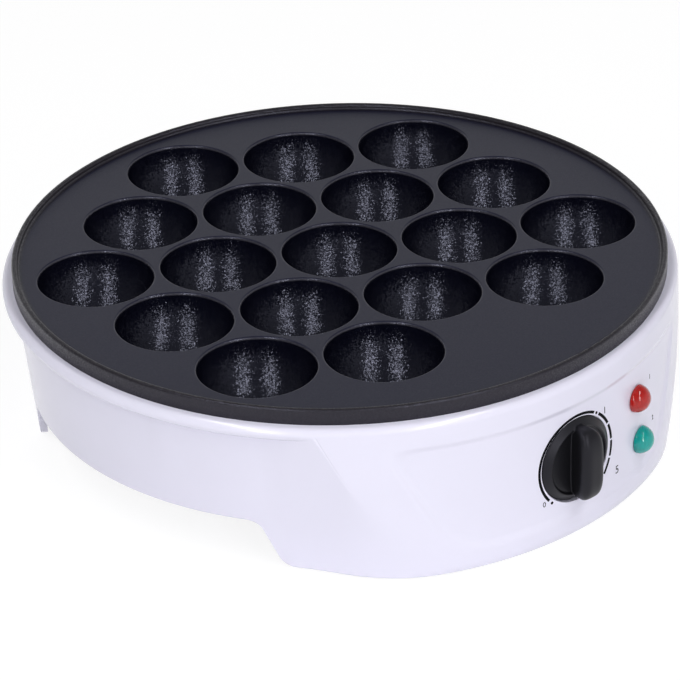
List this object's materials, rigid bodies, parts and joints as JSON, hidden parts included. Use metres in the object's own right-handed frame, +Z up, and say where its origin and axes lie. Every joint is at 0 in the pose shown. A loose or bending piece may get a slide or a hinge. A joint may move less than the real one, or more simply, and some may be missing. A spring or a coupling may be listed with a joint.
{
  "type": "takoyaki maker",
  "caption": "Round electric tabletop cooker: a dark cast plate of hemispherical cups on a white housing with arched sides, a front pod with a control knob and two pilot lamps.",
  "frame": {"origin": "table level, in the middle of the part's outline seen from above", "axes": "+Z up, the control panel and knob face -Y, the pilot lamps are toward +X"},
  "size_m": [0.2344, 0.2438, 0.0649],
  "materials": {
    "cast_plate": "dark non-stick coating on die-cast aluminium, satin, coarse sparkle in the cups",
    "sheath_steel": "annealed tubular sheath, dull",
    "plated_steel": "zinc-plated pressed steel",
    "reflector_aluminium": "bright pressed sheet",
    "ceramic_white": "unglazed steatite",
    "housing_white": "glossy cool white moulding",
    "cover_white": "satin cool white moulding",
    "foot_rubber": "matt black rubber",
    "contact_brass": "bright brass",
    "knob_black": "satin black moulding",
    "lens_red": "clear red moulding, polished",
    "lens_green": "clear green moulding, polished",
    "neon_glass": "clear glass",
    "sleeve_silicone": "silicone sleeve",
    "gland_black": "matt black nylon",
    "lead_jacket": "silicone-jacketed wire"
  },
  "bodies": {
    "body": {"cooking_plate": "cast_plate", "heating_element": "sheath_steel", "element_tabs": "plated_steel", "element_clamps": "plated_steel", "element_clamp_screws": "plated_steel", "heat_reflector": "reflector_aluminium", "ceramic_spacers": "ceramic_white", "plate_screws": "plated_steel", "housing": "housing_white", "base_cover": "cover_white", "base_screws": "plated_steel", "rubber_feet": "foot_rubber", "thermostat_bracket": "plated_steel", "bracket_screw": "plated_steel", "stack_insulators": "ceramic_white", "contact_blades": "contact_brass", "stack_rivet": "plated_steel", "shaft_bush": "contact_brass", "bush_nut": "contact_brass", "red_lens": "lens_red", "red_neon_lamp": "neon_glass", "green_lens": "lens_green", "green_neon_lamp": "neon_glass", "lens_retainers": "plated_steel", "lamp_sleeves": "sleeve_silicone", "cord_gland": "gland_black", "cord_grip": "gland_black", "cord_grip_screws": "plated_steel", "terminal_block": "ceramic_white", "terminal_tubes": "contact_brass", "terminal_block_screw": "plated_steel", "thermal_fuse": "plated_steel", "fuse_clip": "plated_steel", "fuse_rivets": "reflector_aluminium", "live_lead": "lead_jacket", "neutral_lead": "lead_jacket", "switched_lead": "lead_jacket", "fused_lead": "lead_jacket"},
    "knob": {"thermostat_shaft": "plated_steel", "control_knob": "knob_black", "knob_clip": "plated_steel"}
  },
  "joints": [
    {"name": "knob_turn", "type": "hinge", "parent": "body", "child": "knob", "pos_m": [0, -0.1107, 0.0291], "axis": [0, -1, 0], "range_deg": [-135, 135]}
  ]
}
